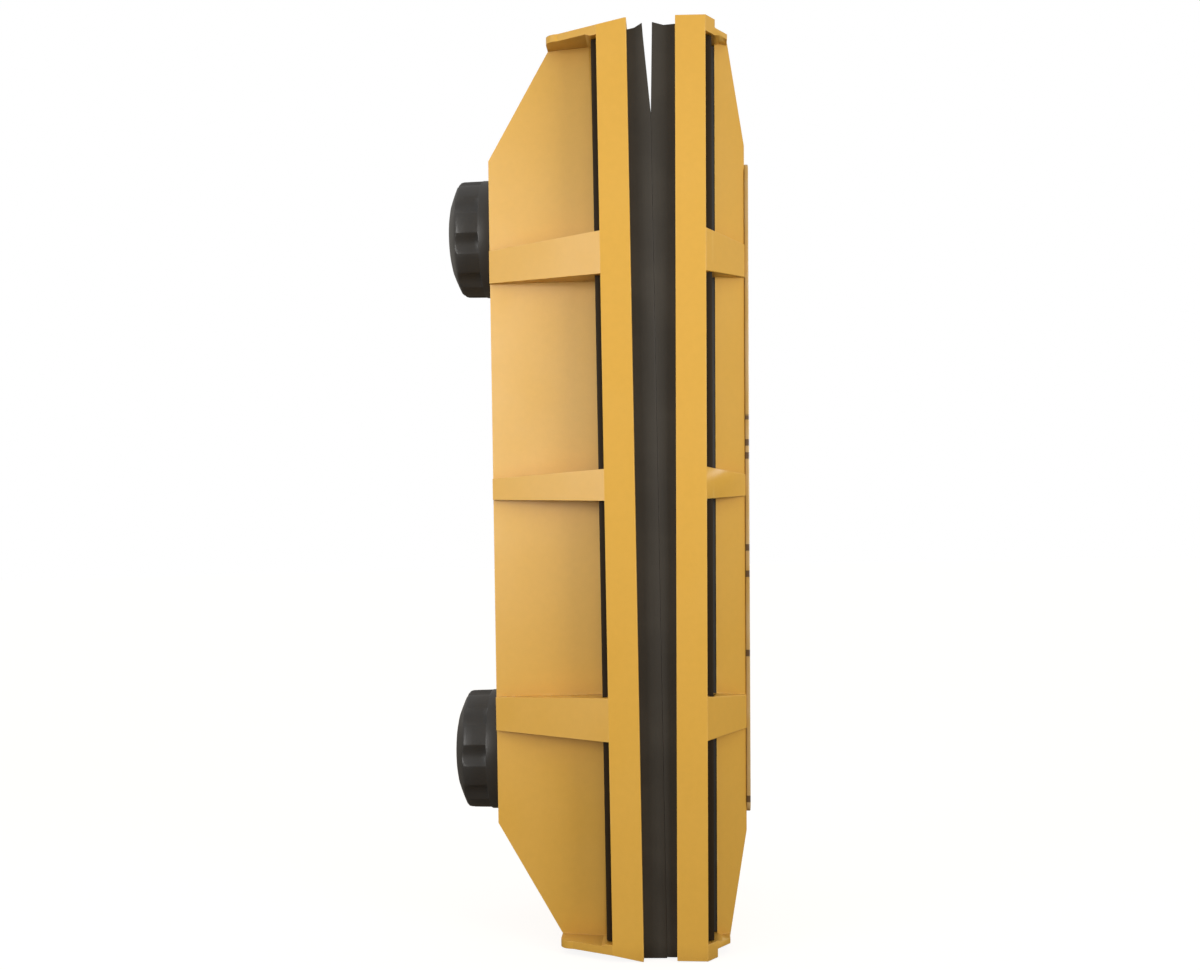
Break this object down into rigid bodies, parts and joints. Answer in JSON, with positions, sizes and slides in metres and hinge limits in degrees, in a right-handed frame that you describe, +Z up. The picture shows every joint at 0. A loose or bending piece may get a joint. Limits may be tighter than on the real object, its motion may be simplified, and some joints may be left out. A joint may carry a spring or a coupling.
{
  "type": "magnetic window cleaner",
  "caption": "Double-sided magnetic window cleaner: two ribbed plastic halves with rubber squeegee blades and wiping pads that grip a pane, and knobs that set the magnetic force.",
  "frame": {"origin": "centre of the footprint on the surface that it stands on, under the middle of the whole part's box", "axes": "+Z up along the long axis, +X through the pane from the inner half to the outer half, +Y across the width, away from the front blades"},
  "size_m": [0.101, 0.104, 0.2902],
  "materials": {
    "yellow_plastic": "satin moulded ABS, honey yellow",
    "base_plastic": "dark grey moulded plastic",
    "blade_rubber": "black squeegee rubber",
    "holder_plastic": "black moulded plastic",
    "knob_plastic": "black moulded plastic, fine texture",
    "pad_fibre": "white microfibre pile",
    "hook_tape": "grey hook tape",
    "magnet": "nickel-plated magnet",
    "steel": "zinc-plated steel",
    "brass": "turned brass",
    "bush_plastic": "natural acetal",
    "label_film": "printed film, plain bands with no lettering"
  },
  "bodies": {
    "inner_half": {"inner_housing": "yellow_plastic", "inner_base_plate": "base_plastic", "inner_base_screws": "steel", "inner_blade_front": "blade_rubber", "inner_blade_rear": "blade_rubber", "inner_blade_holder_front": "holder_plastic", "inner_blade_holder_rear": "holder_plastic", "inner_hook_strip_upper": "hook_tape", "inner_hook_strip_lower": "hook_tape", "inner_pad_upper": "pad_fibre", "inner_pad_lower": "pad_fibre", "spindle_bush_upper": "bush_plastic", "spindle_bush_lower": "bush_plastic"},
    "outer_half": {"outer_housing": "yellow_plastic", "outer_base_plate": "base_plastic", "outer_base_screws": "steel", "outer_blade_front": "blade_rubber", "outer_blade_rear": "blade_rubber", "outer_blade_holder_front": "holder_plastic", "outer_blade_holder_rear": "holder_plastic", "outer_hook_strip_upper": "hook_tape", "outer_hook_strip_lower": "hook_tape", "outer_pad_upper": "pad_fibre", "outer_pad_lower": "pad_fibre", "outer_yoke_upper": "steel", "outer_yoke_lower": "steel", "outer_magnets_upper": "magnet", "outer_magnets_lower": "magnet", "outer_label": "label_film"},
    "knob_assembly_upper": {"knob_upper": "knob_plastic", "spindle_upper": "steel", "spindle_clip_upper": "steel", "knob_screw_upper": "steel", "knob_cap_upper": "knob_plastic"},
    "carrier_assembly_upper": {"magnet_carrier_upper": "base_plastic", "inner_yoke_upper": "steel", "inner_magnets_upper": "magnet", "carrier_nut_upper": "brass"},
    "knob_assembly_lower": {"knob_lower": "knob_plastic", "spindle_lower": "steel", "spindle_clip_lower": "steel", "knob_screw_lower": "steel", "knob_cap_lower": "knob_plastic"},
    "carrier_assembly_lower": {"magnet_carrier_lower": "base_plastic", "inner_yoke_lower": "steel", "inner_magnets_lower": "magnet", "carrier_nut_lower": "brass"}
  },
  "joints": [
    {"name": "outer_half_slide", "type": "slide", "parent": "inner_half", "child": "outer_half", "axis": [1, 0, 0], "range_m": [0, 0.028], "stiffness_N_per_m": 200, "springref_m": -0.1},
    {"name": "carrier_upper_slide", "type": "slide", "parent": "inner_half", "child": "carrier_assembly_upper", "axis": [-1, 0, 0], "range_m": [0, 0.0109]},
    {"name": "knob_upper_turn", "type": "hinge", "parent": "inner_half", "child": "knob_assembly_upper", "pos_m": [-0.03386, 0, 0.2324], "axis": [1, 0, 0], "range_deg": [0, 985]},
    {"name": "carrier_lower_slide", "type": "slide", "parent": "inner_half", "child": "carrier_assembly_lower", "axis": [-1, 0, 0], "range_m": [0, 0.0109]},
    {"name": "knob_lower_turn", "type": "hinge", "parent": "inner_half", "child": "knob_assembly_lower", "pos_m": [-0.03386, 0, 0.0576], "axis": [1, 0, 0], "range_deg": [0, 985]}
  ],
  "couplings": [
    {"joint": "knob_upper_turn", "follows": "carrier_upper_slide", "rad_per_m": 1570.8},
    {"joint": "knob_lower_turn", "follows": "carrier_lower_slide", "rad_per_m": 1570.8}
  ]
}
